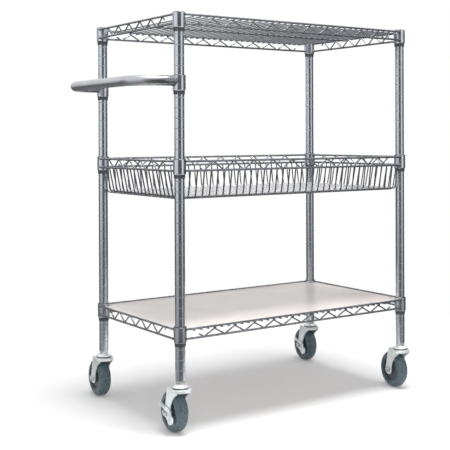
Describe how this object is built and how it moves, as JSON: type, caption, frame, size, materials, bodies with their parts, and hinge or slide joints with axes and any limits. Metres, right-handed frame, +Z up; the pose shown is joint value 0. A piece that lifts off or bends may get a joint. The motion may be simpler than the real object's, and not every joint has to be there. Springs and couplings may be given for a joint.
{
  "type": "wire rolling cart",
  "caption": "Wire utility cart on swivel casters: upper and lower wire shelves, a hanging wire basket between them, grooved posts, a push handle on one end and side brakes.",
  "frame": {"origin": "on the floor under the middle of the box around the whole cart", "axes": "+X along the cart away from the push handle, -Y towards the front long side, +Z up"},
  "size_m": [0.8741, 0.5264, 1.0245],
  "materials": {
    "plated_tube": "bright plated tube, a little grey",
    "plated_wire": "bright plated wire, a little grey",
    "zinc_steel": "bright zinc plated stampings and fasteners",
    "dark_plastic": "black moulded plastic",
    "wheel_plastic": "dark grey moulded wheel body",
    "tread": "smooth blue-grey tread",
    "liner_sheet": "milky see-through sheet"
  },
  "bodies": {
    "frame": {"basket_collars": "plated_tube", "basket_cross_wires": "plated_wire", "basket_liner": "liner_sheet", "basket_long_wires": "plated_wire", "basket_lower_rims": "plated_wire", "basket_upper_rims": "plated_wire", "basket_zigzags": "plated_wire", "bottom_collars": "plated_tube", "bottom_deck_wires": "plated_wire", "bottom_liner": "liner_sheet", "bottom_lower_rims": "plated_wire", "bottom_support_bar": "plated_wire", "bottom_upper_rims": "plated_wire", "bottom_zigzags": "plated_wire", "caster_stem_back_left": "zinc_steel", "caster_stem_back_right": "zinc_steel", "caster_stem_front_left": "zinc_steel", "caster_stem_front_right": "zinc_steel", "handle_collars": "plated_tube", "handle_tube": "plated_tube", "post_back_left": "plated_tube", "post_back_right": "plated_tube", "post_caps": "dark_plastic", "post_front_left": "plated_tube", "post_front_right": "plated_tube", "post_sleeves": "dark_plastic", "stem_inserts": "zinc_steel", "swivel_balls": "zinc_steel", "swivel_races": "zinc_steel", "top_collars": "plated_tube", "top_deck_wires": "plated_wire", "top_lower_rims": "plated_wire", "top_support_bar": "plated_wire", "top_upper_rims": "plated_wire", "top_zigzags": "plated_wire"},
    "fork_front_left": {"caster_fork_front_left": "zinc_steel", "axle_front_left": "zinc_steel", "brake_cam_front_left": "zinc_steel"},
    "wheel_front_left": {"tyre_front_left": "tread", "wheel_body_front_left": "wheel_plastic", "wheel_bush_front_left": "zinc_steel"},
    "lever_front_left": {"brake_lever_front_left": "zinc_steel"},
    "fork_front_right": {"caster_fork_front_right": "zinc_steel", "axle_front_right": "zinc_steel"},
    "wheel_front_right": {"tyre_front_right": "tread", "wheel_body_front_right": "wheel_plastic", "wheel_bush_front_right": "zinc_steel"},
    "fork_back_left": {"caster_fork_back_left": "zinc_steel", "axle_back_left": "zinc_steel"},
    "wheel_back_left": {"tyre_back_left": "tread", "wheel_body_back_left": "wheel_plastic", "wheel_bush_back_left": "zinc_steel"},
    "fork_back_right": {"caster_fork_back_right": "zinc_steel", "axle_back_right": "zinc_steel", "brake_cam_back_right": "zinc_steel"},
    "wheel_back_right": {"tyre_back_right": "tread", "wheel_body_back_right": "wheel_plastic", "wheel_bush_back_right": "zinc_steel"},
    "lever_back_right": {"brake_lever_back_right": "zinc_steel"}
  },
  "joints": [
    {"name": "swivel_front_left", "type": "hinge", "parent": "frame", "child": "fork_front_left", "pos_m": [-0.31607, -0.2372, 0.1125], "axis": [0, 0, 1], "continuous": true},
    {"name": "spin_front_left", "type": "hinge", "parent": "fork_front_left", "child": "wheel_front_left", "pos_m": [-0.31527, -0.20672, 0.0508], "axis": [0.9997, -0.0262, 0], "continuous": true},
    {"name": "brake_front_left", "type": "hinge", "parent": "fork_front_left", "child": "lever_front_left", "pos_m": [-0.31527, -0.20672, 0.0508], "axis": [0.9997, -0.0262, 0], "range_deg": [-30, 0]},
    {"name": "swivel_front_right", "type": "hinge", "parent": "frame", "child": "fork_front_right", "pos_m": [0.40793, -0.2372, 0.1125], "axis": [0, 0, 1], "continuous": true},
    {"name": "spin_front_right", "type": "hinge", "parent": "fork_front_right", "child": "wheel_front_right", "pos_m": [0.41165, -0.20693, 0.0508], "axis": [0.9925, -0.1219, 0], "continuous": true},
    {"name": "swivel_back_left", "type": "hinge", "parent": "frame", "child": "fork_back_left", "pos_m": [-0.31607, 0.1818, 0.1125], "axis": [0, 0, 1], "continuous": true},
    {"name": "spin_back_left", "type": "hinge", "parent": "fork_back_left", "child": "wheel_back_left", "pos_m": [-0.31474, 0.21227, 0.0508], "axis": [0.999, -0.0436, 0], "continuous": true},
    {"name": "swivel_back_right", "type": "hinge", "parent": "frame", "child": "fork_back_right", "pos_m": [0.40793, 0.1818, 0.1125], "axis": [0, 0, 1], "continuous": true},
    {"name": "spin_back_right", "type": "hinge", "parent": "fork_back_right", "child": "wheel_back_right", "pos_m": [0.41112, 0.21213, 0.0508], "axis": [0.9945, -0.1045, 0], "continuous": true},
    {"name": "brake_back_right", "type": "hinge", "parent": "fork_back_right", "child": "lever_back_right", "pos_m": [0.41112, 0.21213, 0.0508], "axis": [0.9945, -0.1045, 0], "range_deg": [-30, 0]}
  ]
}
